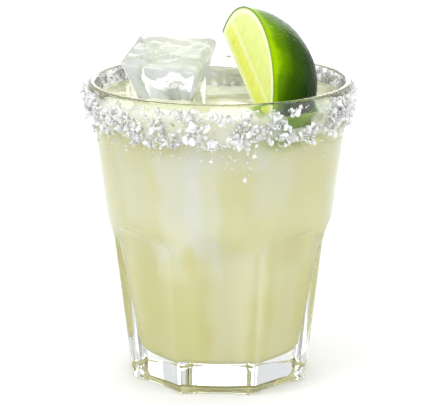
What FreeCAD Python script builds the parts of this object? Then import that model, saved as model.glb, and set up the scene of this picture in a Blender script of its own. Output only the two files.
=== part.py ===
"""A margarita in its glass: a panelled tumbler with a salted rim, the drink, two ice
cubes and a lime wedge.  Millimetres and degrees, +Z up, origin at the centre of the
foot.  The lime leans towards +X and its cut face looks towards -X and -Y."""

import FreeCAD, Part
import math
import os
import random

import Sketcher
from FreeCAD import Vector

SIZES = {
    # tumbler
    "glass_height": 100.0,
    "rim_diameter": 86.6,
    "foot_diameter": 62.0,
    "lip_thickness": 2.0,
    "lip_radius": 0.9,
    "floor_thickness": 9.0,
    "floor_diameter": 42.6,
    "floor_corner_radius": 3.0,
    "dish_diameter": 46.0,
    "dish_depth": 1.2,
    # flutes cut round the lower half of the tumbler
    "flute_count": 8,
    "flute_turn": -92.34,
    "flute_radius": 60.0,
    "flute_top": 56.8,
    "flute_run_out": 9.0,
    "rib_width": 0.9,
    # drink
    "drink_level": 94.0,
    # lime wedge, placed by the middle of the whole lime: the side of the glass that it
    # is on, its gap to the wall at the drink's level, and its height above that level
    "lime_length": 52.0,
    "lime_diameter": 47.8,
    "lime_wedge_angle": 90.0,
    "lime_side": -55.0,
    "lime_gap": 0.55,
    "lime_rise": 6.7,
    "lime_yaw": -61.44,
    "lime_pitch": -59.12,
    "lime_roll": -8.96,
    # large ice cube, placed by the middle of its wide face: how far that is beside and
    # behind the middle of the lime, and above the drink
    "cube_width": 28.6,
    "cube_depth": 27.8,
    "cube_height": 21.0,
    "cube_taper": 17.5,
    "cube_edge_radius": 2.0,
    "cube_beside": -24.4,
    "cube_behind": 10.7,
    "cube_rise": 16.2,
    "cube_yaw": -14.4,
    "cube_pitch": 2.9,
    "cube_roll": 14.2,
    # smaller ice cube at the back wall, placed by the middle of its wide face
    "back_cube_width": 22.0,
    "back_cube_depth": 17.0,
    "back_cube_height": 20.0,
    "back_cube_taper": 7.0,
    "back_cube_edge_radius": 2.0,
    "back_cube_side": 76.5,
    "back_cube_gap": 0.4,
    "back_cube_rise": 6.8,
    "back_cube_yaw": -6.0,
    "back_cube_pitch": 3.0,
    "back_cube_roll": 4.0,
    # salt crust round the outside of the rim
    "salt_top": 98.4,
    "salt_bottom": 84.0,
    "salt_thickness": 1.4,
    "salt_unevenness": 0.5,
    "clump_thickness": 2.4,
    "clump_width": 6.0,
}

SALT_SECTIONS = 72
SALT_ROWS = 5
SALT_SEED = 7
# waves round the crust: how many there are in a turn, and their share of the unevenness
THICKNESS_WAVES = ((3, 1.0), (7, 1.0), (13, 1.0))
LOWER_EDGE_WAVES = ((5, 1.0), (11, 0.5))
# share of the crust's thickness that is left at its lower and upper edges
EDGE_SHARE = 0.35
LEAST_SALT = 0.2
# where the crust is heaped: angle round the rim from +X, share of the crust's height, and
# share of the clump thickness
SALT_CLUMPS = ((181.0, 0.80, 1.0), (3.0, 0.45, 0.6), (-36.0, 0.60, 0.4), (96.0, 0.70, 0.4))
# how far the flute's cutter reaches below the foot
CUTTER_DROP = 3.0


def make_sheet(doc):
    """Put every driving size in a spreadsheet, one aliased plain number to a row."""
    sheet = doc.addObject("Spreadsheet::Sheet", "Sizes")
    for row, (name, value) in enumerate(SIZES.items(), start=1):
        sheet.set("A%d" % row, name)
        sheet.set("B%d" % row, str(value))
        sheet.setAlias("B%d" % row, name)
    doc.recompute()
    return sheet


def value_of(sheet, expression):
    """Work out an expression of the sheet's sizes as a plain number."""
    return float(sheet.evalExpression(expression))


def origin_feature(body, role):
    """Give the body's own origin plane or axis that has this role."""
    for feature in body.Origin.OriginFeatures:
        if feature.Role == role:
            return feature
    raise ValueError("no origin feature " + role)


def new_sketch(body, name, role):
    """Add a sketch on one of the body's own origin planes."""
    sketch = body.newObject("Sketcher::SketchObject", name)
    sketch.AttachmentSupport = [(origin_feature(body, role), "")]
    sketch.MapMode = "FlatFace"
    return sketch


def bind_corner(sketch, edge, kind, expression, value):
    """Tie one coordinate of an edge's start point to an expression."""
    if expression == "0":
        axis = -2 if kind == "DistanceX" else -1
        sketch.addConstraint(Sketcher.Constraint("PointOnObject", edge, 1, axis))
        return
    made = sketch.addConstraint(Sketcher.Constraint(kind, -1, 1, edge, 1, value))
    sketch.setExpression("Constraints[%d]" % made, expression)


def draw_outline(sketch, sheet, corners, arc_after=None, arc_radius=None):
    """Draw a closed outline through corners, each a pair of expressions.

    The edge that follows corner arc_after, if any, is a quarter turn of arc_radius that
    bulges towards the sketch's left and top."""
    points = []
    for across, up in corners:
        points.append(Vector(value_of(sheet, across), value_of(sheet, up), 0))
    count = len(points)
    for i in range(count):
        start = points[i]
        end = points[(i + 1) % count]
        if i == arc_after:
            radius = value_of(sheet, arc_radius)
            centre = Vector(start.x, end.y, 0)
            circle = Part.Circle(centre, Vector(0, 0, 1), radius)
            sketch.addGeometry(Part.ArcOfCircle(circle, math.pi / 2, math.pi), False)
        else:
            sketch.addGeometry(Part.LineSegment(start, end), False)
    for i in range(count):
        sketch.addConstraint(Sketcher.Constraint("Coincident", i, 2, (i + 1) % count, 1))
    for i, (across, up) in enumerate(corners):
        bind_corner(sketch, i, "DistanceX", across, points[i].x)
        bind_corner(sketch, i, "DistanceY", up, points[i].y)
    if arc_after is not None:
        made = sketch.addConstraint(Sketcher.Constraint("Radius", arc_after, radius))
        sketch.setExpression("Constraints[%d]" % made, arc_radius)


def revolve_about_z(body, sketch, name):
    """Turn the sketch a whole turn about the body's Z axis."""
    feature = body.newObject("PartDesign::Revolution", name)
    feature.Profile = (sketch, [""])
    feature.ReferenceAxis = (origin_feature(body, "Z_Axis"), [""])
    feature.Angle = 360.0
    return feature


def circles_at(shape, radius, height):
    """Name the round edges of this radius that lie at this height."""
    names = []
    for i, edge in enumerate(shape.Edges, start=1):
        if not isinstance(edge.Curve, Part.Circle):
            continue
        same_radius = abs(edge.Curve.Radius - radius) < 0.01
        same_height = abs(edge.Curve.Center.z - height) < 0.01
        if same_radius and same_height:
            names.append("Edge%d" % i)
    return names


def round_edges(body, base, names, name, radius_expression):
    """Round the named edges of the base feature."""
    fillet = body.newObject("PartDesign::Fillet", name)
    fillet.Base = (base, names)
    fillet.setExpression("Radius", radius_expression)
    return fillet


def outer_radius(height):
    """Expression for the tumbler's plain outer cone at a height."""
    return ("((Sizes.foot_diameter + (Sizes.rim_diameter - Sizes.foot_diameter)"
            " * %s / Sizes.glass_height) / 2)" % height)


def inner_radius(height):
    """Expression for the tumbler's inner cone at a height, from its floor to its lip."""
    lip = "(Sizes.rim_diameter - 2 * Sizes.lip_thickness)"
    share = "((%s - Sizes.floor_thickness) / (Sizes.glass_height - Sizes.floor_thickness))"
    return ("((Sizes.floor_diameter + (" + lip + " - Sizes.floor_diameter) * "
            + share % height + ") / 2)")


def flute_floor(height):
    """Expression for how far a flute's deepest line is from the tumbler's axis.

    The flute's round section meets the outer cone half a rib's width short of the line
    between two flutes."""
    cone = outer_radius(height)
    half = "(180 / Sizes.flute_count - 90 * Sizes.rib_width / (pi * %s))" % cone
    return ("(%s * cos(%s) - Sizes.flute_radius"
            " + sqrt(Sizes.flute_radius ^ 2 - (%s * sin(%s)) ^ 2))" % (cone, half, cone, half))


def flute_tilt():
    """Expression for the slope of a flute's deepest line from the upright."""
    rise = flute_floor("Sizes.flute_top") + " - " + flute_floor("0")
    return "atan((%s) / Sizes.flute_top)" % rise


def make_blank(doc, sheet, body):
    """Turn the tumbler without its flutes, with a dished base and a rounded lip."""
    lip = "Sizes.rim_diameter / 2 - Sizes.lip_thickness"
    corners = [
        ("Sizes.dish_diameter / 2", "0"),
        ("Sizes.foot_diameter / 2", "0"),
        ("Sizes.rim_diameter / 2", "Sizes.glass_height"),
        (lip, "Sizes.glass_height"),
        ("Sizes.floor_diameter / 2", "Sizes.floor_thickness"),
        ("0", "Sizes.floor_thickness"),
        ("0", "Sizes.dish_depth"),
        ("Sizes.dish_diameter / 2", "Sizes.dish_depth"),
    ]
    sketch = new_sketch(body, "BlankSection", "XZ_Plane")
    draw_outline(sketch, sheet, corners)
    blank = revolve_about_z(body, sketch, "Blank")
    doc.recompute()
    top = sheet.glass_height
    lips = circles_at(blank.Shape, sheet.rim_diameter / 2, top)
    lips += circles_at(blank.Shape, value_of(sheet, lip), top)
    rounded = round_edges(body, blank, lips, "Lip", "Sizes.lip_radius")
    doc.recompute()
    floor = circles_at(rounded.Shape, sheet.floor_diameter / 2, sheet.floor_thickness)
    return round_edges(body, rounded, floor, "FloorCorner", "Sizes.floor_corner_radius")


def cut_flutes(doc, sheet, body):
    """Cut one flute with a tilted round cutter and repeat it round the tumbler."""
    drop = "%s mm" % CUTTER_DROP
    height = "((Sizes.flute_top + %s) / cos(%s))" % (CUTTER_DROP, flute_tilt())
    corners = [
        ("0", "0"),
        ("Sizes.flute_radius", "0"),
        ("Sizes.flute_radius", height),
        ("Sizes.flute_run_out", height),
        ("0", height + " - Sizes.flute_run_out"),
    ]
    sketch = new_sketch(body, "FluteSection", "XZ_Plane")
    draw_outline(sketch, sheet, corners, arc_after=3, arc_radius="Sizes.flute_run_out")
    axis_x = value_of(sheet, "Sizes.flute_radius")
    axis = sketch.addGeometry(Part.LineSegment(Vector(axis_x, 0, 0), Vector(axis_x, 1, 0)), True)
    sketch.addConstraint(Sketcher.Constraint("Coincident", axis, 1, 1, 1))
    sketch.addConstraint(Sketcher.Constraint("PointOnObject", axis, 2, 1))
    sketch.addConstraint(Sketcher.Constraint("DistanceY", axis, 1, axis, 2, 1.0))
    back = "%s * tan(%s)" % (CUTTER_DROP, flute_tilt())
    sketch.setExpression("AttachmentOffset.Base.x", "(%s - %s) * 1 mm" % (flute_floor("0"), back))
    sketch.setExpression("AttachmentOffset.Base.y", "-" + drop)
    sketch.setExpression("AttachmentOffset.Rotation.Yaw", "-" + flute_tilt())
    flute = body.newObject("PartDesign::Groove", "Flute")
    flute.Profile = (sketch, [""])
    flute.ReferenceAxis = (sketch, ["Axis0"])
    flute.Angle = 360.0
    doc.recompute()
    flutes = body.newObject("PartDesign::PolarPattern", "Flutes")
    flutes.Originals = [flute]
    flutes.Axis = (origin_feature(body, "Z_Axis"), [""])
    flutes.Angle = 360.0
    flutes.setExpression("Occurrences", "Sizes.flute_count")
    body.Tip = flutes
    return flutes


def make_tumbler(doc, sheet):
    """The heavy pressed tumbler with its flutes."""
    body = doc.addObject("PartDesign::Body", "Tumbler")
    body.Label = "tumbler"
    blank = make_blank(doc, sheet, body)
    doc.recompute()
    flutes = cut_flutes(doc, sheet, body)
    doc.recompute()
    if flutes.Shape.Volume > blank.Shape.Volume * 0.98:
        raise RuntimeError("the flutes cut nothing")
    body.setExpression("Placement.Rotation.Yaw", "Sizes.flute_turn")
    return body


def beside_wall(side, reach, gap):
    """Expressions for a place that leaves a gap to the wall at the drink's level.

    It is on the given side of the glass, for a piece that reaches this far from there."""
    out = "(%s - %s - %s)" % (inner_radius("Sizes.drink_level"), reach, gap)
    return (out + " * cos(%s)" % side, out + " * sin(%s)" % side)


def lime_place():
    """Expressions for the middle of the whole lime."""
    reach = "max(Sizes.lime_length; Sizes.lime_diameter) / 2"
    across, along = beside_wall("Sizes.lime_side", reach, "Sizes.lime_gap")
    return (across, along, "Sizes.drink_level + Sizes.lime_rise")


def cube_place():
    """Expressions for the middle of the large cube's wide face, which keeps by the lime."""
    across, along, _ = lime_place()
    return (across + " + Sizes.cube_beside", along + " + Sizes.cube_behind",
            "Sizes.drink_level + Sizes.cube_rise")


def back_cube_place():
    """Expressions for the middle of the back cube's wide face, which keeps by the wall."""
    reach = "sqrt(Sizes.back_cube_width ^ 2 + Sizes.back_cube_depth ^ 2) / 2"
    across, along = beside_wall("Sizes.back_cube_side", reach, "Sizes.back_cube_gap")
    return (across, along, "Sizes.drink_level + Sizes.back_cube_rise")


def put(obj, place, prefix):
    """Move an object to a place and turn it by its three angles in the sheet."""
    for part, expression in zip(("x", "y", "z"), place):
        obj.setExpression("Placement.Base." + part, expression)
    for part in ("yaw", "pitch", "roll"):
        obj.setExpression("Placement.Rotation." + part.title(), "Sizes." + prefix + part)


def make_ice_cube(doc, sheet, label, prefix, place):
    """A tapered ice cube with rounded edges, its wide face up before it is tilted."""
    body = doc.addObject("PartDesign::Body", label.title().replace("_", ""))
    body.Label = label
    size = "Sizes." + prefix
    corners = [
        ("0", "0"),
        (size + "width", "0"),
        (size + "width", size + "depth"),
        ("0", size + "depth"),
    ]
    sketch = new_sketch(body, prefix + "face", "XY_Plane")
    draw_outline(sketch, sheet, corners)
    sketch.setExpression("AttachmentOffset.Base.x", "-%swidth / 2 * 1 mm" % size)
    sketch.setExpression("AttachmentOffset.Base.y", "-%sdepth / 2 * 1 mm" % size)
    block = body.newObject("PartDesign::Pad", prefix + "block")
    block.Profile = (sketch, [""])
    block.Reversed = True
    block.setExpression("Length", size + "height")
    block.setExpression("TaperAngle", "-" + size + "taper")
    doc.recompute()
    names = ["Edge%d" % i for i in range(1, len(block.Shape.Edges) + 1)]
    round_edges(body, block, names, prefix + "edges", size + "edge_radius")
    put(body, place, prefix)
    return body


def make_lime(doc):
    """A quarter of a lime, cut lengthwise through its core."""
    lime = doc.addObject("Part::Ellipsoid", "LimeWedge")
    lime.Label = "lime_wedge"
    lime.setExpression("Radius1", "Sizes.lime_length / 2")
    lime.setExpression("Radius2", "Sizes.lime_diameter / 2")
    lime.setExpression("Radius3", "Sizes.lime_diameter / 2")
    lime.setExpression("Angle3", "Sizes.lime_wedge_angle")
    put(lime, lime_place(), "lime_")
    return lime


def make_drink(doc, sheet, sunk):
    """The drink fills the glass up to its level, round whatever stands in it."""
    body = doc.addObject("PartDesign::Body", "Fill")
    corners = [
        ("0", "Sizes.floor_thickness"),
        ("Sizes.floor_diameter / 2", "Sizes.floor_thickness"),
        (inner_radius("Sizes.drink_level"), "Sizes.drink_level"),
        ("0", "Sizes.drink_level"),
    ]
    sketch = new_sketch(body, "FillSection", "XZ_Plane")
    draw_outline(sketch, sheet, corners)
    fill = revolve_about_z(body, sketch, "FillBlank")
    doc.recompute()
    floor = circles_at(fill.Shape, sheet.floor_diameter / 2, sheet.floor_thickness)
    round_edges(body, fill, floor, "FillCorner", "Sizes.floor_corner_radius")
    pieces = doc.addObject("Part::MultiFuse", "Sunk")
    pieces.Shapes = sunk
    drink = doc.addObject("Part::Cut", "Drink")
    drink.Label = "drink"
    drink.Base = body
    drink.Tool = pieces
    return drink


def waves(kinds, angle, phases):
    """Sum of sine waves round the rim, each given by its count in a turn and its share."""
    total = 0
    for (count, share), phase in zip(kinds, phases):
        total += share * math.sin(count * angle + phase)
    return total


def crust_thickness(sheet, angle, share, phases):
    """How far the salt stands out of the glass at an angle and a share of its height."""
    ripple = waves(THICKNESS_WAVES, angle, phases) / len(THICKNESS_WAVES)
    thickness = sheet.salt_thickness + sheet.salt_unevenness * ripple
    rim = sheet.rim_diameter / 2
    height = sheet.salt_top - sheet.salt_bottom
    for degrees, clump_share, strength in SALT_CLUMPS:
        turn = math.remainder(angle - math.radians(degrees), 2 * math.pi)
        away = math.hypot(turn * rim, (share - clump_share) * height)
        bump = math.exp(-(away / sheet.clump_width) ** 2)
        thickness += sheet.clump_thickness * strength * bump
    swell = math.sqrt(math.sin(math.pi * share))
    return thickness * (EDGE_SHARE + (1 - EDGE_SHARE) * swell)


def crust_section(sheet, angle, phases, chance):
    """One upright section of the salt crust, from its lower inner edge round to its upper."""
    ragged = 1 + waves(LOWER_EDGE_WAVES, angle, phases) + chance.random()
    low = sheet.salt_bottom + sheet.salt_unevenness * ragged
    high = sheet.salt_top - sheet.salt_unevenness * chance.random()
    # the ring's straight inner edges lie against the glass between its sections
    chord = 1 / math.cos(math.pi / SALT_SECTIONS)
    points = []
    for row in range(-1, SALT_ROWS + 1):
        share = min(1, max(0, row / (SALT_ROWS - 1)))
        height = low + (high - low) * share
        radius = value_of(sheet, outer_radius(str(height))) * chord
        if 0 <= row < SALT_ROWS:
            jitter = sheet.salt_unevenness * (chance.random() - 0.5)
            radius += max(LEAST_SALT, crust_thickness(sheet, angle, share, phases) + jitter)
        points.append(Vector(radius * math.cos(angle), radius * math.sin(angle), height))
    return points


def make_salt(doc, sheet):
    """The salt crust as one closed faceted ring against the outside of the rim."""
    chance = random.Random(SALT_SEED)
    phases = [chance.uniform(0, 2 * math.pi) for _ in THICKNESS_WAVES]
    sections = []
    for i in range(SALT_SECTIONS):
        angle = 2 * math.pi * i / SALT_SECTIONS
        sections.append(crust_section(sheet, angle, phases, chance))
    faces = []
    for i in range(SALT_SECTIONS):
        here = sections[i]
        there = sections[(i + 1) % SALT_SECTIONS]
        for j in range(len(here)):
            k = (j + 1) % len(here)
            for corners in ((here[j], there[j], there[k]), (here[j], there[k], here[k])):
                faces.append(Part.Face(Part.makePolygon(list(corners) + [corners[0]])))
    shell = Part.makeShell(faces)
    shell.sewShape()
    salt = doc.addObject("Part::Feature", "SaltRim")
    salt.Label = "salt_rim"
    salt.Shape = Part.makeSolid(shell)
    return salt


def check(doc, parts):
    """Stop if any object failed or any part's shape is missing, broken or not one solid."""
    for obj in doc.Objects:
        if "Invalid" in obj.State or "Error" in obj.State:
            raise RuntimeError("%s failed: %s" % (obj.Label, obj.State))
    for part in parts:
        shape = part.Shape
        if shape.isNull() or not shape.isValid() or len(shape.Solids) != 1:
            raise RuntimeError("%s is not one valid solid" % part.Label)
        if shape.Volume <= 0:
            raise RuntimeError("%s is inside out" % part.Label)


def main():
    doc = FreeCAD.newDocument("Margarita")
    sheet = make_sheet(doc)
    tumbler = make_tumbler(doc, sheet)
    cube = make_ice_cube(doc, sheet, "ice_cube_large", "cube_", cube_place())
    back_cube = make_ice_cube(doc, sheet, "ice_cube_back", "back_cube_", back_cube_place())
    lime = make_lime(doc)
    drink = make_drink(doc, sheet, [cube, back_cube, lime])
    salt = make_salt(doc, sheet)
    doc.recompute()
    parts = [tumbler, drink, cube, back_cube, lime, salt]
    check(doc, parts)
    os.makedirs("parts", exist_ok=True)
    for part in parts:
        part.Shape.exportStep("parts/%s.step" % part.Label)
        box = part.Shape.BoundBox
        print("%-15s %9.0f mm3  z %6.1f to %6.1f" % (part.Label, part.Shape.Volume, box.ZMin, box.ZMax))


main()
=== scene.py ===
"""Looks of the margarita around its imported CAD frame."""

import math
import random

import bmesh
import bpy
import numpy as np
from mathutils import Euler, Matrix, Vector, noise


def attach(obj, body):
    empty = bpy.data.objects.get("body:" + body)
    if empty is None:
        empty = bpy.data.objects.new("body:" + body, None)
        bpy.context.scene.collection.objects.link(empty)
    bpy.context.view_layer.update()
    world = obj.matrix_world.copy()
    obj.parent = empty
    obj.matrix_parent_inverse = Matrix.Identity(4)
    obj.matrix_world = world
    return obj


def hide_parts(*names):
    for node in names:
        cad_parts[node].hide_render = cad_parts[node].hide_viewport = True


MM = 0.001
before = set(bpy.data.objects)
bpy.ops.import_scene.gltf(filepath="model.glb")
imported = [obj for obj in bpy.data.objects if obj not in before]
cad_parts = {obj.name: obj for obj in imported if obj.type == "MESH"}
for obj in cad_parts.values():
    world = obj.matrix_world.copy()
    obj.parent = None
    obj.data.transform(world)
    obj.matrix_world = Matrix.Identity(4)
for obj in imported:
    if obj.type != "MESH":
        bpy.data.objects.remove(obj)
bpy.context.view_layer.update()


# ---------------------------------------------------------------- helpers
def piece(name, verts_mm, faces, materials, smooth=True, face_material=None):
    """Make one mesh piece, its points in millimetres in the row frame, riding on the root."""
    mesh = bpy.data.meshes.new(name)
    mesh.from_pydata([tuple(v) for v in np.asarray(verts_mm, float) * MM], [], faces)
    mesh.validate()
    mesh.update()
    obj = bpy.data.objects.new(name, mesh)
    bpy.context.scene.collection.objects.link(obj)
    for material in materials if isinstance(materials, (list, tuple)) else [materials]:
        mesh.materials.append(material)
    mesh.polygons.foreach_set("use_smooth", [smooth] * len(mesh.polygons))
    if face_material is not None:
        mesh.polygons.foreach_set("material_index", face_material)
    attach(obj, "root")
    return obj


def add_attribute(obj, name, values):
    """Give a piece one plain number at each point, for its material to read."""
    made = obj.data.attributes.new(name, "FLOAT", "POINT")
    made.data.foreach_set("value", np.asarray(values, np.float32))


def new_material(name, **sockets):
    """A Principled material with plain values set on its own sockets."""
    material = bpy.data.materials.new(name)
    material.use_nodes = True
    shader = material.node_tree.nodes["Principled BSDF"]
    for key, value in sockets.items():
        shader.inputs[key.replace("_", " ")].default_value = value
    return material, material.node_tree, shader


def node(tree, kind, **values):
    """Add a shader node, with its settings and the plain values of its sockets."""
    made = tree.nodes.new(kind)
    for key, value in values.items():
        if hasattr(made, key):
            setattr(made, key, value)
        else:
            made.inputs[key.replace("_", " ")].default_value = value
    return made


def srgb(r, g, b):
    """Linear colour, with alpha, from 0 to 255 display values."""
    out = []
    for c in (r, g, b):
        c /= 255
        out.append(c / 12.92 if c <= 0.04045 else ((c + 0.055) / 1.055) ** 2.4)
    return (*out, 1.0)


def ramp(tree, source, stops):
    """Turn a number into a colour, by stops of place and colour."""
    made = tree.nodes.new("ShaderNodeValToRGB")
    elements = made.color_ramp.elements
    while len(elements) < len(stops):
        elements.new(0.5)
    for element, (at, colour) in zip(elements, stops):
        element.position = at
        element.color = colour
    tree.links.new(source, made.inputs["Fac"])
    return made.outputs["Color"]


def mix_colour(tree, factor, a, b, blend="MIX"):
    """Mix two colours; each value is plain or another node's output."""
    made = tree.nodes.new("ShaderNodeMix")
    made.data_type = "RGBA"
    made.blend_type = blend
    for index, value in ((0, factor), (6, a), (7, b)):
        if isinstance(value, bpy.types.NodeSocket):
            tree.links.new(value, made.inputs[index])
        else:
            made.inputs[index].default_value = value
    return made.outputs[2]


def math_node(tree, operation, a, b=0.0, c=0.0, clamp=False):
    made = tree.nodes.new("ShaderNodeMath")
    made.operation = operation
    made.use_clamp = clamp
    for index, value in enumerate((a, b, c)):
        if isinstance(value, bpy.types.NodeSocket):
            tree.links.new(value, made.inputs[index])
        else:
            made.inputs[index].default_value = value
    return made.outputs[0]


def smoothstep(low, high, x):
    t = np.clip((np.asarray(x, float) - low) / (high - low), 0, 1)
    return t * t * (3 - 2 * t)


def smooth_min(a, b, k):
    """The smaller of two values, rounded over a width k where they meet."""
    h = np.clip(0.5 + 0.5 * (b - a) / k, 0, 1)
    return b * (1 - h) + a * h - k * h * (1 - h)


def ring_grid(rows, count, closed_ends=(False, False)):
    """Faces of a grid of rings, each with count points, with a point at either end."""
    faces = []
    for i in range(rows - 1):
        for j in range(count):
            k = (j + 1) % count
            faces.append((i * count + j, i * count + k, (i + 1) * count + k, (i + 1) * count + j))
    total = rows * count
    if closed_ends[0]:
        faces += [((j + 1) % count, j, total) for j in range(count)]
        total += 1
    if closed_ends[1]:
        base = (rows - 1) * count
        faces += [(base + j, base + (j + 1) % count, total) for j in range(count)]
    return faces


# ---------------------------------------------------------------- sizes, in millimetres
GLASS_HEIGHT = 100.0
RIM = 43.3
FOOT = 31.0
FLOOR_Z = 9.0
FLOOR = 21.3
CORNER = 3.0
LIP = 41.3
FLUTES = 8
FLUTE_TURN = math.radians(-92.34)
FLUTE_RADIUS = 60.0
FLUTE_TOP = 56.8
FLUTE_RUN_OUT = 9.0
RIB_WIDTH = 0.9
RIB_SOFTNESS = 0.22
LIP_ROUND = 0.9
FOOT_ROUND = 1.1
# radius and height from the middle of the dish under the foot to the ring it stands on
DISH = ((7.0, 1.2), (14.0, 1.2), (19.0, 1.2), (21.6, 1.17), (22.4, 1.0), (22.8, 0.6),
        (23.0, 0.25), (23.3, 0.05), (23.7, 0.0))
LEVEL = 94.0
# how far the drink reaches into the wall, so that no air gap shows
REACH = 0.12
# how high the drink creeps up the wall, and over what distance that fades
CREEP, CREEP_FADE = 0.85, 0.8
# the lime's half length and half width
LIME_A, LIME_B = 26.0, 23.9


def cone(z):
    return FOOT + (RIM - FOOT) * z / GLASS_HEIGHT


def inner(z):
    return FLOOR + (LIP - FLOOR) * (z - FLOOR_Z) / (GLASS_HEIGHT - FLOOR_Z)


def floor_corner(extra):
    """Radius and height along the rounded corner of the inside, from the floor up to the wall."""
    slope = math.atan((LIP - FLOOR) / (GLASS_HEIGHT - FLOOR_Z))
    middle = inner(FLOOR_Z + CORNER) - CORNER / math.cos(slope)
    points = []
    for share in np.linspace(0, 1, 9):
        a = -math.pi / 2 + (math.pi / 2 - slope) * share
        r = CORNER + extra
        points.append((middle + r * math.cos(a), FLOOR_Z + CORNER + r * math.sin(a)))
    return points


def flute_line(z):
    """How far the deepest line of a flute is from the axis."""
    def at(h):
        r = cone(h)
        half = math.pi / FLUTES - RIB_WIDTH / (2 * r)
        return r * math.cos(half) - FLUTE_RADIUS + math.sqrt(
            FLUTE_RADIUS ** 2 - (r * math.sin(half)) ** 2)
    low, high = at(0), at(FLUTE_TOP)
    return low + (high - low) * z / FLUTE_TOP


def outside(turn, z):
    """Radius of the tumbler's outside at angles from the nearest flute's middle, at a height."""
    run = min(max(z - (FLUTE_TOP - FLUTE_RUN_OUT), 0.0), FLUTE_RUN_OUT)
    radius = FLUTE_RADIUS - FLUTE_RUN_OUT + math.sqrt(FLUTE_RUN_OUT ** 2 - run ** 2)
    centre = flute_line(z) + FLUTE_RADIUS
    under = radius ** 2 - (centre * np.sin(turn)) ** 2
    no_flute = 99.0
    flute = np.where(under > 0, centre * np.cos(turn) - np.sqrt(np.maximum(under, 0)), no_flute)
    if z > FLUTE_TOP - 0.01:
        flute = np.full_like(turn, no_flute)
    return smooth_min(np.full_like(turn, cone(z)), flute, RIB_SOFTNESS)


# ---------------------------------------------------------------- materials
def make_glass_material():
    material, _, _ = new_material(
        "glass_clear", Base_Color=(0.985, 0.992, 0.99, 1), Roughness=0.0, IOR=1.5,
        Transmission_Weight=1.0)
    return material


# name, roughness, IOR, then colours: darkest and lightest of the drink high up, the same low
# down, and the pale places high up and low down
# the sides' colours are painted far lighter than the open surface's, to make up for the shade that
# the glass puts on them: painted light
DRINK_LOOKS = (
    ("drink_body", 0.6, 1.05, ((238, 236, 182), (242, 241, 200)),
     ((236, 231, 158), (239, 236, 180)), (250, 251, 236), (250, 248, 208)),
    ("drink_surface", 0.08, 1.33, ((198, 199, 142), (206, 207, 158)),
     ((198, 199, 142), (206, 207, 158)), (224, 227, 200), (224, 227, 200)),
)


def make_drink_materials():
    """One for the sides, which the glass darkens, and one for the open surface; the sides are
    painted far lighter than the surface to make up for that shade, as painted light.
    """
    made = []
    for name, roughness, ior, soft_colours, low_colours, pale_high, pale_low in DRINK_LOOKS:
        material, tree, shader = new_material(
            name, Roughness=roughness, IOR=ior, Subsurface_Weight=0.7, Subsurface_Scale=0.005)
        shader.inputs["Subsurface Radius"].default_value = (1.0, 1.0, 0.55)
        pale = node(tree, "ShaderNodeAttribute", attribute_name="pale")
        place = node(tree, "ShaderNodeTexCoord")
        clouds = node(tree, "ShaderNodeTexNoise", Scale=55.0, Detail=3.0)
        tree.links.new(place.outputs["Object"], clouds.inputs["Vector"])
        deep = node(tree, "ShaderNodeAttribute", attribute_name="deep")
        soft = ramp(tree, clouds.outputs["Fac"], [
            (0.3, srgb(*soft_colours[0])), (0.72, srgb(*soft_colours[1]))])
        low = ramp(tree, clouds.outputs["Fac"], [
            (0.3, srgb(*low_colours[0])), (0.72, srgb(*low_colours[1]))])
        body = mix_colour(tree, deep.outputs["Fac"], soft, low)
        ice_colour = mix_colour(tree, deep.outputs["Fac"], srgb(*pale_high), srgb(*pale_low))
        milky = mix_colour(tree, pale.outputs["Fac"], body, ice_colour)
        # near the lime the drink is painted green to olive: the sunk lime seen through the drink,
        # and painted shade beside it
        near = node(tree, "ShaderNodeAttribute", attribute_name="lime_near")
        olive = ramp(tree, near.outputs["Fac"], [
            (0.0, srgb(226, 224, 132)), (1.0, srgb(118, 164, 4))])
        colour = mix_colour(tree, near.outputs["Fac"], milky, olive)
        tree.links.new(colour, shader.inputs["Base Color"])
        made.append(material)
    return made


def make_ice_material():
    material, tree, shader = new_material(
        "ice_wet", Roughness=0.07, IOR=1.31, Transmission_Weight=0.72)
    place = node(tree, "ShaderNodeTexCoord")
    frost = node(tree, "ShaderNodeTexNoise", Scale=130.0, Detail=4.0)
    tree.links.new(place.outputs["Object"], frost.inputs["Vector"])
    tree.links.new(ramp(tree, frost.outputs["Fac"], [
        (0.38, (0.8, 0.83, 0.82, 1)), (0.62, (0.97, 0.98, 1.0, 1))]), shader.inputs["Base Color"])
    waves = node(tree, "ShaderNodeTexNoise", Scale=260.0, Detail=2.0)
    bump = node(tree, "ShaderNodeBump", Strength=0.25, Distance=0.0006)
    tree.links.new(place.outputs["Object"], waves.inputs["Vector"])
    tree.links.new(waves.outputs["Fac"], bump.inputs["Height"])
    tree.links.new(bump.outputs["Normal"], shader.inputs["Normal"])
    return material


def make_cloud_material():
    material, _, _ = new_material(
        "ice_bubbles_white", Base_Color=(0.93, 0.95, 0.96, 1), Roughness=0.35, IOR=1.2)
    return material


def make_salt_materials():
    white, tree, shader = new_material(
        "salt_white", Roughness=0.3, IOR=1.4, Transmission_Weight=0.15, Subsurface_Weight=0.6,
        Subsurface_Scale=0.0012)
    shader.inputs["Subsurface Radius"].default_value = (1.0, 1.0, 1.0)
    place = node(tree, "ShaderNodeTexCoord")
    spots = node(tree, "ShaderNodeTexNoise", Scale=700.0, Detail=2.0)
    tree.links.new(place.outputs["Object"], spots.inputs["Vector"])
    colour = ramp(tree, spots.outputs["Fac"], [
        (0.3, srgb(240, 242, 236)), (0.7, srgb(254, 254, 252))])
    tree.links.new(colour, shader.inputs["Base Color"])
    clear, _, _ = new_material(
        "salt_clear", Base_Color=(0.99, 0.99, 0.985, 1), Roughness=0.15, IOR=1.4,
        Transmission_Weight=0.7)
    film, _, _ = new_material(
        "salt_film", Base_Color=(0.99, 0.99, 0.96, 1), Roughness=0.3, IOR=1.02,
        Transmission_Weight=0.62)
    return white, clear, film


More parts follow.
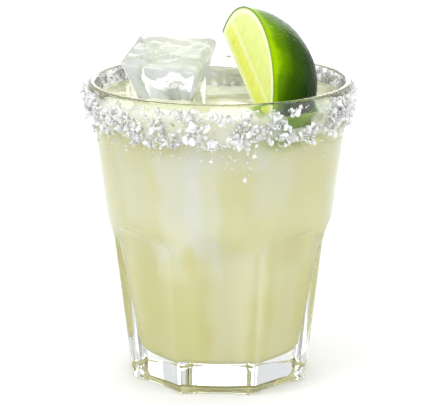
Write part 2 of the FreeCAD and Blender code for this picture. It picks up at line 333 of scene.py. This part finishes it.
def make_lime_materials():
    rind, tree, shader = new_material(
        "lime_rind", Roughness=0.25, IOR=1.12, Specular_Tint=(0.85, 1.0, 0.3, 1))
    place = node(tree, "ShaderNodeTexCoord")
    rind_tone_and_shade = node(tree, "ShaderNodeAttribute", attribute_name="rind_tone_and_shade")
    mottle = node(tree, "ShaderNodeTexNoise", Scale=90.0, Detail=4.0)
    tree.links.new(place.outputs["Object"], mottle.inputs["Vector"])
    shift = math_node(tree, "MULTIPLY_ADD", mottle.outputs["Fac"], 0.35, -0.17)
    along = math_node(tree, "ADD", rind_tone_and_shade.outputs["Fac"], shift, clamp=True)
    # the rind's green, from light at one cut to dark at the other: partly the lime's own tone,
    # partly painted shade
    green = ramp(tree, along, [
        (0.0, srgb(146, 184, 4)), (0.09, srgb(92, 132, 0)), (0.27, srgb(48, 82, 0)),
        (0.54, srgb(26, 54, 2)), (1.0, srgb(17, 42, 2))])
    pores = node(tree, "ShaderNodeTexVoronoi", Scale=620.0, Randomness=1.0)
    tree.links.new(place.outputs["Object"], pores.inputs["Vector"])
    pit = ramp(tree, pores.outputs["Distance"], [(0.0, (0, 0, 0, 1)), (0.4, (1, 1, 1, 1))])
    dots = ramp(tree, pores.outputs["Distance"], [
        (0.0, (0.62, 0.68, 0.55, 1)), (0.3, (1, 1, 1, 1))])
    coloured = mix_colour(tree, 0.55, green, dots, "MULTIPLY")
    bump = node(tree, "ShaderNodeBump", Strength=0.55, Distance=0.0004)
    tree.links.new(pit, bump.inputs["Height"])
    tree.links.new(bump.outputs["Normal"], shader.inputs["Normal"])
    tree.links.new(coloured, shader.inputs["Base Color"])

    cut, tree, shader = new_material(
        "lime_cut", Roughness=0.22, IOR=1.4, Subsurface_Weight=0.45, Subsurface_Scale=0.003)
    shader.inputs["Subsurface Radius"].default_value = (1.0, 0.9, 0.25)
    depth = node(tree, "ShaderNodeAttribute", attribute_name="depth")
    along = node(tree, "ShaderNodeAttribute", attribute_name="along")
    out = node(tree, "ShaderNodeAttribute", attribute_name="out")
    vector = node(tree, "ShaderNodeCombineXYZ")
    tree.links.new(along.outputs["Fac"], vector.inputs["X"])
    tree.links.new(math_node(tree, "MULTIPLY", out.outputs["Fac"], 0.22), vector.inputs["Y"])
    streaks = node(tree, "ShaderNodeTexNoise", Scale=0.6, Detail=3.0)
    tree.links.new(vector.outputs["Vector"], streaks.inputs["Vector"])
    wander = math_node(tree, "MULTIPLY_ADD", streaks.outputs["Fac"], 0.14, -0.07)
    share = math_node(tree, "ADD", math_node(tree, "DIVIDE", out.outputs["Fac"], LIME_B), wander)
    core = ramp(tree, share, [
        (0.0, srgb(240, 244, 190)), (0.06, srgb(236, 240, 160)), (0.1, srgb(226, 230, 70)),
        (0.27, srgb(228, 234, 84)), (0.33, srgb(240, 244, 176)), (0.39, srgb(222, 232, 118)),
        (0.8, srgb(226, 236, 140))])
    lighter = ramp(tree, streaks.outputs["Fac"], [(0.42, (0, 0, 0, 1)), (0.75, (0.4, 0.4, 0.4, 1))])
    light = mix_colour(tree, lighter, core, srgb(240, 246, 180))
    # from the rind inwards: zest, pith, then flesh
    ring = ramp(tree, math_node(tree, "DIVIDE", depth.outputs["Fac"], 6.0), [
        (0.0, srgb(70, 120, 8)), (0.07, srgb(120, 168, 30)), (0.13, srgb(236, 242, 180)),
        (0.3, srgb(248, 250, 214)), (0.42, srgb(238, 244, 180))])
    inside = ramp(tree, math_node(tree, "DIVIDE", depth.outputs["Fac"], 6.0), [
        (0.28, (0, 0, 0, 1)), (0.46, (1, 1, 1, 1))])
    face = mix_colour(tree, inside, ring, light)
    bump = node(tree, "ShaderNodeBump", Strength=0.25, Distance=0.0004)
    tree.links.new(streaks.outputs["Fac"], bump.inputs["Height"])
    tree.links.new(bump.outputs["Normal"], shader.inputs["Normal"])
    tree.links.new(face, shader.inputs["Base Color"])
    return rind, cut


# ---------------------------------------------------------------- glass
def flute_angles(per_flute):
    """Angles round the glass and from the nearest flute's middle, closer set by the ribs."""
    half = math.pi / FLUTES
    t = np.linspace(-1, 1, per_flute, endpoint=False)
    spread = 0.3 * np.abs(t) + 0.7 * (1 - (1 - np.abs(t)) ** 1.7)
    local = np.sign(t) * spread * half
    turns = np.concatenate([local for _ in range(FLUTES)])
    angles = np.concatenate([local + FLUTE_TURN + 2 * half * i for i in range(FLUTES)])
    return angles, turns


def glass_rows(turns):
    """Rings of radius and height up the outside, over the lip and down the inside."""
    rows = []
    flat = np.ones_like(turns)
    for r, z in DISH:
        rows.append((flat * r, z))
    for degrees in (0, 15, 30, 45, 60, 75, 90):
        a = math.radians(degrees)
        z = FOOT_ROUND * (1 - math.cos(a))
        rows.append((outside(turns, z) - FOOT_ROUND * (1 - math.sin(a)), z))
    # the rings lie closest where the flutes run out
    heights = list(np.arange(3.0, 44, 4.0)) + list(np.arange(44.5, 58.0, 0.3))
    heights += list(np.arange(60, 98.5, 5.0)) + [98.3]
    for z in heights:
        rows.append((outside(turns, z), z))
    for degrees in (0, 18, 36, 54, 72, 90):
        a = math.radians(degrees)
        z = GLASS_HEIGHT - LIP_ROUND * (1 - math.sin(a))
        rows.append((flat * (cone(z) - LIP_ROUND * (1 - math.cos(a))), z))
    for degrees in (90, 72, 54, 36, 18, 0):
        a = math.radians(degrees)
        z = GLASS_HEIGHT - LIP_ROUND * (1 - math.sin(a))
        rows.append((flat * (inner(z) + LIP_ROUND * (1 - math.cos(a))), z))
    for z in (97, 93, 88, 80, 70, 60, 50, 40, 30, 22, 17):
        rows.append((flat * inner(z), z))
    for r, z in reversed(floor_corner(0.0)):
        rows.append((flat * r, z))
    for r in (13.0, 8.0, 3.0):
        rows.append((flat * r, FLOOR_Z))
    return rows


def make_glass(material):
    angles, turns = flute_angles(56)
    rows = glass_rows(turns)
    verts = []
    for radius, z in rows:
        ring = (radius * np.cos(angles), radius * np.sin(angles), np.full_like(angles, z))
        verts.append(np.stack(ring, 1))
    verts = np.concatenate(verts + [np.array([[0, 0, DISH[0][1]], [0, 0, FLOOR_Z]])])
    faces = ring_grid(len(rows), len(angles), (True, True))
    glass = piece("glass_tumbler", verts, faces, material)
    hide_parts("tumbler")
    return glass


# ---------------------------------------------------------------- where the lime lies
LIME_CENTRE = Vector((7.70, -11.0, 100.7))


def turn_of(yaw, pitch, roll):
    return (Matrix.Rotation(math.radians(yaw), 3, "Z")
            @ Matrix.Rotation(math.radians(pitch), 3, "Y")
            @ Matrix.Rotation(math.radians(roll), 3, "X"))


def lime_axes():
    rotation = turn_of(-61.44, -59.12, -8.96)
    return rotation.col[0].copy(), rotation.col[1].copy(), rotation.col[2].copy()


def lime_nearness(point):
    """1 where a point touches the lime, and 0 from a few millimetres away."""
    across, other, axis = lime_axes()
    d = point - LIME_CENTRE
    x, y, z = max(0.0, d.dot(across)), max(0.0, d.dot(other)), d.dot(axis)
    scaled = math.sqrt((x / LIME_B) ** 2 + (y / LIME_B) ** 2 + (z / LIME_A) ** 2)
    shrink = min(1.0, 1 / max(scaled, 1e-6))
    nearest = LIME_CENTRE + (across * x + other * y + axis * z) * shrink
    return 1 - float(smoothstep(1.2, 6.0, (point - nearest).length))


# ---------------------------------------------------------------- drink
# pale soft places in the side of the drink, where ice lies close to the glass:
# angle from -Y towards +X, height, half width, half height, strength
PALE = (
    (-22, 66, 13, 18, 0.75),
    (-8, 62, 9, 22, 0.55),
    (-33, 46, 10, 7, 0.6),
    (9, 30, 17, 23, 0.75),
    (28, 72, 12, 12, 0.45),
    (5, 84, 22, 7, 0.5),
    (-48, 70, 12, 14, 0.3),
    (50, 26, 14, 18, 0.45),
    (95, 60, 22, 20, 0.5),
    (150, 50, 26, 20, 0.5),
    (210, 70, 26, 16, 0.5),
    (265, 40, 20, 20, 0.5),
)


def paleness(x, y, z):
    """How pale the drink is at a point of its side, from 0 to 1."""
    angle = math.degrees(math.atan2(x, -y))
    total = 0.0
    for at, height, wide, tall, strength in PALE:
        turn = math.remainder(angle - at, 360)
        wobble = 1 + 0.35 * noise.noise(Vector((x * 0.12, y * 0.12, z * 0.12 + at)))
        away = max(abs(turn) / wide, abs(z - height) / tall) * wobble
        total += strength * (1 - float(smoothstep(0.55, 1.25, away)))
    return min(1.0, total)


def make_drink(materials):
    count = 220
    angles = np.linspace(0, 2 * math.pi, count, endpoint=False)
    rows = []
    for r in (3.0, 8.0, 13.0):
        rows.append((r, FLOOR_Z - REACH))
    rows += floor_corner(REACH)
    for z in np.arange(16.0, LEVEL, 1.5):
        rows.append((inner(z) + REACH, z))
    side_rows = len(rows)
    top = inner(LEVEL) + REACH
    rows.append((top + 0.18, LEVEL + CREEP))
    surface = [top - step for step in (0.25, 0.6, 1.1, 1.8, 2.8)]
    surface += [34, 31, 28, 25, 22, 19, 16, 13, 10, 7, 4, 1.5]
    for r in surface:
        rows.append((r, LEVEL + CREEP * math.exp(-(top - r) / CREEP_FADE)))
    verts = []
    for r, z in rows:
        open_surface = r < top - 0.5 and z > LEVEL - 1
        for a in angles:
            x, y = r * math.cos(a), r * math.sin(a)
            dz = 0.22 * noise.noise(Vector((x * 0.16, y * 0.16, 3.1))) if open_surface else 0
            verts.append((x, y, z + dz))
    verts += [(0, 0, FLOOR_Z - REACH), (0, 0, LEVEL)]
    faces = ring_grid(len(rows), count, (True, True))
    # the open surface has the second material
    kinds = [0 if f // count < side_rows else 1 for f in range((len(rows) - 1) * count)]
    kinds += [0] * count + [1] * count
    drink = piece("drink_cloudy", verts, faces, materials, face_material=kinds)
    pale = [0.35 if z > LEVEL - 0.1 else paleness(x, y, z) for x, y, z in verts]
    near = [lime_nearness(Vector(v)) if v[2] > 80 else 0.0 for v in verts]
    add_attribute(drink, "pale", pale)
    add_attribute(drink, "lime_near", near)
    add_attribute(drink, "deep", [1 - float(smoothstep(28, 66, z)) for _, _, z in verts])
    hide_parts("drink")
    return drink


# ---------------------------------------------------------------- ice
EDGE_ROUND = 2.6
CUBE_CUTS = 22
BUBBLES_TRIED = 170


def cube_points(width, depth, height, taper, radius, cuts, dent, seed):
    """A rounded, tapered, dented block with its wide face at the top, z 0."""
    bm = bmesh.new()
    bmesh.ops.create_cube(bm, size=2.0)
    bmesh.ops.subdivide_edges(bm, edges=bm.edges[:], cuts=cuts, use_grid_fill=True)
    half = Vector((width / 2, depth / 2, height / 2))
    for v in bm.verts:
        # points gather towards the edges, where the block is rounded
        p = Vector([math.copysign(abs(c) ** 0.72, c) if c else 0.0 for c in v.co])
        p = Vector([p[i] * half[i] for i in range(3)])
        q = Vector([max(-half[i] + radius, min(half[i] - radius, p[i])) for i in range(3)])
        d = p - q
        if d.length > 1e-9:
            p = q + d.normalized() * radius
        normal = (p - q).normalized() if d.length > 1e-9 else Vector((0, 0, 1))
        n = 0.6 * noise.noise(p * 0.13 + Vector((seed, 0, 0)))
        n += 0.4 * noise.noise(p * 0.33 + Vector((0, seed, 0)))
        p -= normal * dent * (0.5 + 0.9 * n)
        shrink = math.tan(math.radians(taper)) * (half.z - p.z)
        p.x *= (half.x - shrink) / half.x
        p.y *= (half.y - shrink) / half.y
        p.z -= half.z
        v.co = p
    bmesh.ops.recalc_face_normals(bm, faces=bm.faces[:])
    verts = [v.co.copy() for v in bm.verts]
    faces = [tuple(v.index for v in f.verts) for f in bm.faces]
    bm.free()
    return verts, faces


def make_ice(name, node_name, centre, angles, size, taper, dent, seed, ice, white):
    rotation = turn_of(*angles)
    centre = Vector(centre)
    verts, faces = cube_points(*size, taper, EDGE_ROUND, CUBE_CUTS, dent, seed)
    placed = [rotation @ v + centre for v in verts]
    cube = piece(name, placed, faces, ice)
    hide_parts(node_name)
    chance = random.Random(seed)
    spheres = []
    for _ in range(BUBBLES_TRIED):
        spread = Vector((chance.gauss(0, size[0] * 0.13), chance.gauss(0, size[1] * 0.13),
                         -size[2] * 0.5 + chance.gauss(0, size[2] * 0.16)))
        far_up = abs(spread.z + size[2] / 2) > size[2] * 0.35
        if abs(spread.x) > size[0] * 0.3 or abs(spread.y) > size[1] * 0.3 or far_up:
            continue
        at = rotation @ spread + centre
        if at.z < LEVEL + 0.5:
            continue
        spheres.append((at, chance.uniform(0.08, 0.3)))
    make_spheres(name + "_bubbles", spheres, white, 1)
    return cube


def make_spheres(name, spheres, material, divisions, squash=1.0):
    """Many small spheres joined as one mesh."""
    bm = bmesh.new()
    bmesh.ops.create_icosphere(bm, subdivisions=divisions, radius=1.0)
    unit = np.array([v.co for v in bm.verts])
    tris = np.array([[v.index for v in f.verts] for f in bm.faces])
    bm.free()
    verts, faces = [], []
    for at, radius in spheres:
        base = len(verts) * len(unit)
        verts.append(unit * np.array([radius, radius, radius * squash]) + np.array(at))
        faces += [tuple(t) for t in tris + base]
    return piece(name, np.concatenate(verts), faces, material)


# ---------------------------------------------------------------- lime
def make_lime(rind_material, cut_material):
    across, other, axis = lime_axes()

    def at(lat, turn, share=1.0):
        radial = across * math.cos(turn) + other * math.sin(turn)
        edge = axis * (LIME_A * math.cos(lat)) + radial * (LIME_B * math.sin(lat))
        return LIME_CENTRE + edge * share

    # rind: a skin over the quarter's outside
    rows, cols = 120, 90
    verts, rind_tone_and_shade = [], []
    for i in range(rows + 1):
        lat = math.pi * i / rows
        for j in range(cols + 1):
            turn = math.pi / 2 * j / cols
            p = at(lat, turn)
            n = noise.noise(p * 0.09) * 0.35 + noise.noise(p * 0.8) * 0.05
            verts.append(p + (p - LIME_CENTRE).normalized() * (n - 0.3) * math.sin(lat))
            # the rind is painted from light green at one cut to dark green at the other: partly the
            # lime's own tone, partly painted shade on the side away from the light; the rind is
            # lightest within 2 mm of either cut
            edge = min(turn, math.pi / 2 - turn) * LIME_B * math.sin(lat)
            share = turn / (math.pi / 2) * 1.15 - 0.02 + min(0.0, (edge - 2) * 0.06)
            rind_tone_and_shade.append(min(1.0, max(0.0, share)))
    faces = []
    for i in range(rows):
        for j in range(cols):
            a = i * (cols + 1) + j
            faces.append((a, a + 1, a + cols + 2, a + cols + 1))
    rind = piece("lime_rind", verts, [tuple(reversed(f)) for f in faces], rind_material)
    add_attribute(rind, "rind_tone_and_shade", rind_tone_and_shade)

    # the two cut faces, from the core's line out to the rind
    verts, depth, along, out, faces = [], [], [], [], []
    steps, rings = 150, 70
    for face_turn, flip in ((0.0, False), (math.pi / 2, True)):
        base = len(verts)
        normal = -other if not flip else -across
        radial = across if not flip else other
        for i in range(steps + 1):
            lat = math.pi * i / steps
            for j in range(rings + 1):
                share = 1 - (1 - j / rings) ** 1.25
                p = at(lat, face_turn, share)
                edge = at(lat, face_turn)
                u = (p - LIME_CENTRE).dot(axis)
                v = (p - LIME_CENTRE).dot(radial)
                from_rind = (edge - p).length
                # slope of the edge makes the ring even in width
                from_rind *= abs(math.sin(lat)) * 0.25 + 0.75
                flesh = float(smoothstep(1.8, 3.0, from_rind))
                cells = noise.noise(Vector((u * 0.75, v * 0.22, 5.0 if flip else 0.0)))
                p = p + normal * (-0.12 + flesh * (-0.1 + 0.18 * cells))
                verts.append(p)
                depth.append(from_rind)
                along.append(u)
                out.append(v)
        for i in range(steps):
            for j in range(rings):
                a = base + i * (rings + 1) + j
                quad = (a, a + 1, a + rings + 2, a + rings + 1)
                faces.append(quad if not flip else tuple(reversed(quad)))
    flesh = piece("lime_flesh", verts, faces, cut_material)
    for name, values in (("depth", depth), ("along", along), ("out", out)):
        add_attribute(flesh, name, values)
    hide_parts("lime_wedge")
    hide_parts("lime_wedge")


# ---------------------------------------------------------------- salt
def grain(chance, size, flat):
    """Corner points and faces of one small broken crystal."""
    bm = bmesh.new()
    for _ in range(chance.choice((8, 9, 10, 12))):
        p = Vector((chance.gauss(0, 1), chance.gauss(0, 1), chance.gauss(0, 1))).normalized()
        p = Vector([math.copysign(abs(c) ** 0.6, c) for c in p])
        bm.verts.new((p.x * size, p.y * size * chance.uniform(0.75, 1), p.z * size * flat))
    made = bmesh.ops.convex_hull(bm, input=bm.verts[:])
    loose = [v for v in bm.verts if not v.link_faces]
    bmesh.ops.delete(bm, geom=loose, context="VERTS")
    bmesh.ops.recalc_face_normals(bm, faces=bm.faces[:])
    for index, v in enumerate(bm.verts):
        v.index = index
    verts = np.array([v.co for v in bm.verts])
    faces = np.array([[v.index for v in f.verts] for f in bm.faces])
    bm.free()
    return verts, faces


GRAINS = 4600
FINE_STRAYS = 240
CLEAR_SHARE = 0.25
SALT_TOP = 98.3
# how far the film of salt may sink into the wall or stand off it
FILM_LEAST, FILM_MOST = -0.06, 0.5


# extra heaps of salt: angle from -Y towards +X, height, spread round, spread up, grains
HEAPS = (
    (-88, 95.0, 10, 3.0, 110),
    (93, 92.0, 11, 4.0, 110),
    (68, 93.0, 10, 3.5, 70),
    (14, 90.0, 9, 4.0, 60),
    (-50, 92.0, 14, 3.5, 70),
)


# thinner salt in front of the lime: angle from -Y towards +X, spread round, lowest height
THIN = (36, 16, 90.5)


# single crystals on the glass below the crust: angle from -Y towards +X, height, size
STRAYS = ((12.5, 77.2, 1.35), (11.4, 75.2, 1.0), (13.4, 79.0, 0.8), (2.0, 79.6, 0.6),
          (5.0, 79.2, 0.7), (-4.0, 81.5, 0.55), (30.0, 81.0, 0.5), (-31.0, 82.0, 0.6))


def crust_band(angle):
    """Lower and upper height of the salt at an angle."""
    low = 85.6 + 1.6 * noise.noise(Vector((math.cos(angle) * 3, math.sin(angle) * 3, 1.0)))
    low += 1.3 * noise.noise(Vector((math.cos(angle) * 9, math.sin(angle) * 9, 4.0)))
    return low, SALT_TOP


def make_salt(white, clear, film):
    chance = random.Random(11)
    library = [grain(chance, 1.0, chance.uniform(0.3, 0.9)) for _ in range(70)]
    places = []

    def bare(angle, z, thinned=0.55):
        """How bare the glass is between the clumps of salt, from about -1 to 1."""
        at = Vector((math.cos(angle) * 7, math.sin(angle) * 7, z * 0.17))
        middle, spread, lowest = THIN
        thin = 0.0
        if z > lowest:
            thin = math.exp(-((math.degrees(angle) + 90 - middle) / spread) ** 2)
        return noise.noise(at) + 0.4 * noise.noise(at * 2.3) + thinned * thin

    while len(places) < GRAINS:
        angle = chance.uniform(-math.pi, math.pi)
        low, high = crust_band(angle)
        z = low + (high - low) * chance.random()
        if bare(angle, z) > chance.uniform(-0.3, 0.45):
            continue
        kind = chance.random()
        if kind < 0.5:
            size = chance.uniform(0.14, 0.38)
        elif kind < 0.93:
            size = chance.uniform(0.4, 0.95)
        else:
            size = chance.uniform(1.0, 1.75)
        places.append((angle, z, chance.uniform(0.0, 0.9), size))
    for _ in range(FINE_STRAYS):
        angle = chance.uniform(0, 2 * math.pi)
        low, _ = crust_band(angle)
        places.append((angle, low - abs(chance.gauss(0, 2.2)), 0.0, chance.uniform(0.12, 0.5)))
    for degrees, height, wide, tall, count in HEAPS:
        for _ in range(count):
            angle = math.radians(degrees - 90 + chance.gauss(0, wide / 2))
            z = min(97.8, chance.gauss(height, tall / 1.6))
            stand = chance.uniform(0.1, 2.2)
            places.append((angle, z, stand, min(1.4, 0.4 + chance.expovariate(3.0))))
    for degrees, z, size in STRAYS:
        places.append((math.radians(degrees - 90), z, 0.0, size))
    sets = {"white": ([], []), "clear": ([], [])}
    for angle, z, stand, size in places:
        verts, faces = chance.choice(library)
        spin = np.array(Euler([chance.uniform(0, 6.28) for _ in range(3)]).to_matrix())
        radius = cone(z) + size * 0.35 + stand
        at = np.array([radius * math.cos(angle), radius * math.sin(angle), min(z, 98.9 - size)])
        kind = sets["clear" if chance.random() < CLEAR_SHARE else "white"]
        base = sum(len(v) for v in kind[0])
        kind[0].append(verts @ spin.T * size + at)
        kind[1].extend(tuple(f) for f in faces + base)
    core_points, thicknesses = [], []
    count, levels = 700, 32
    for share in np.linspace(0, 1, levels):
        for j in range(count):
            a = 2 * math.pi * j / count - math.pi
            low, high = crust_band(a)
            z = low + 1.0 + (high - low - 1.6) * share
            thick = 0.3 * math.sin(math.pi * share) ** 0.5 - 0.35 * bare(a, z, 1.2)
            thicknesses.append(thick)
            r = cone(z) + max(FILM_LEAST, min(FILM_MOST, thick))
            core_points.append((r * math.cos(a), r * math.sin(a), z))
    covered = [f for f in ring_grid(levels, count) if max(thicknesses[i] for i in f) > FILM_LEAST]
    core = piece("salt_film", core_points, covered, film)
    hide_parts("salt_rim")
    for kind, material in (("white", white), ("clear", clear)):
        obj = piece("salt_grains_" + kind, np.concatenate(sets[kind][0]), sets[kind][1], material,
                    smooth=False)
        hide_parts("salt_rim")


# ---------------------------------------------------------------- bubbles on the drink
WALL_BUBBLES = 150
FOAM_BUBBLES = 70


def make_bubbles():
    """Small bubbles along the wall, and a patch of foam between the ice and the lime."""
    material, _, _ = new_material(
        "bubble_film", Base_Color=(1, 1, 0.97, 1), Roughness=0.02, IOR=1.12,
        Transmission_Weight=1.0)
    chance = random.Random(5)
    spheres = []
    for _ in range(WALL_BUBBLES):
        angle = chance.uniform(0, 2 * math.pi)
        r = inner(LEVEL) - chance.expovariate(1.6) - 0.4
        size = chance.uniform(0.2, 0.75)
        spheres.append(((r * math.cos(angle), r * math.sin(angle), LEVEL + 0.15), size))
    for _ in range(FOAM_BUBBLES):
        place = (chance.gauss(-2.5, 3.0), chance.gauss(-16, 2.5), LEVEL + 0.1)
        spheres.append((place, chance.uniform(0.25, 0.9)))
    make_spheres("surface_bubbles", spheres, material, 2, 0.8)


# ---------------------------------------------------------------- stage
# soft square lights: name, place and side in metres, power in watts
LIGHTS = (
    ("key", (-0.8, -0.55, 0.75), 0.6, 6.0),
    ("top", (0.1, 0.25, 1.2), 0.9, 2.5),
    ("front", (0.35, -1.4, 0.9), 0.8, 5.0),
    ("right", (0.9, -0.5, 0.45), 0.4, 2.2),
    ("back", (0.15, 0.95, 0.45), 0.7, 3.0),
)
LIT_POINT = Vector((0, 0, 0.06))


def make_stage():
    # a hair below the foot, so that the glass keeps a thin layer of air under it
    bpy.ops.mesh.primitive_plane_add(size=6.0, location=(0, 0, -0.0001))
    floor = bpy.context.object
    floor.name = "floor"
    material, _, _ = new_material("floor_pale", Base_Color=(0.9, 0.9, 0.9, 1), Roughness=0.9)
    floor.data.materials.append(material)
    world = bpy.data.worlds.new("world")
    bpy.context.scene.world = world
    world.use_nodes = True
    world.node_tree.nodes["Background"].inputs["Color"].default_value = (0.95, 0.97, 1.0, 1)
    world.node_tree.nodes["Background"].inputs["Strength"].default_value = 0.8
    for name, place, size, power in LIGHTS:
        light = bpy.data.lights.new(name, "AREA")
        light.size = size
        light.energy = power
        lamp = bpy.data.objects.new(name, light)
        lamp.location = place
        lamp.rotation_euler = (LIT_POINT - Vector(place)).to_track_quat("-Z", "Y").to_euler()
        bpy.context.scene.collection.objects.link(lamp)


def make_camera():
    data = bpy.data.cameras.new("camera")
    camera = bpy.data.objects.new("camera", data)
    bpy.context.scene.collection.objects.link(camera)
    camera.location = (0, -0.6823, 0.2325)
    camera.rotation_euler = (math.radians(75.64), 0, 0)
    data.sensor_width = 36
    data.lens = 172.3
    data.clip_start = 0.01
    data.clip_end = 20
    bpy.context.scene.camera = camera


make_glass(make_glass_material())
make_drink(make_drink_materials())
ice, cloud = make_ice_material(), make_cloud_material()
make_ice("ice_large", "ice_cube_large", (-16.7, -0.3, 110.2), (-14.4, 2.9, 14.2),
         (28.6, 27.8, 21.0), 17.5, 0.9, 3, ice, cloud)
make_ice("ice_back", "ice_cube_back", (5.995, 24.97, 100.8), (-6.0, 3.0, 4.0),
         (22.0, 17.0, 20.0), 7.0, 0.45, 8, ice, cloud)
make_lime(*make_lime_materials())
make_salt(*make_salt_materials())
make_bubbles()
make_stage()
make_camera()
bpy.context.scene.view_settings.view_transform = "Standard"
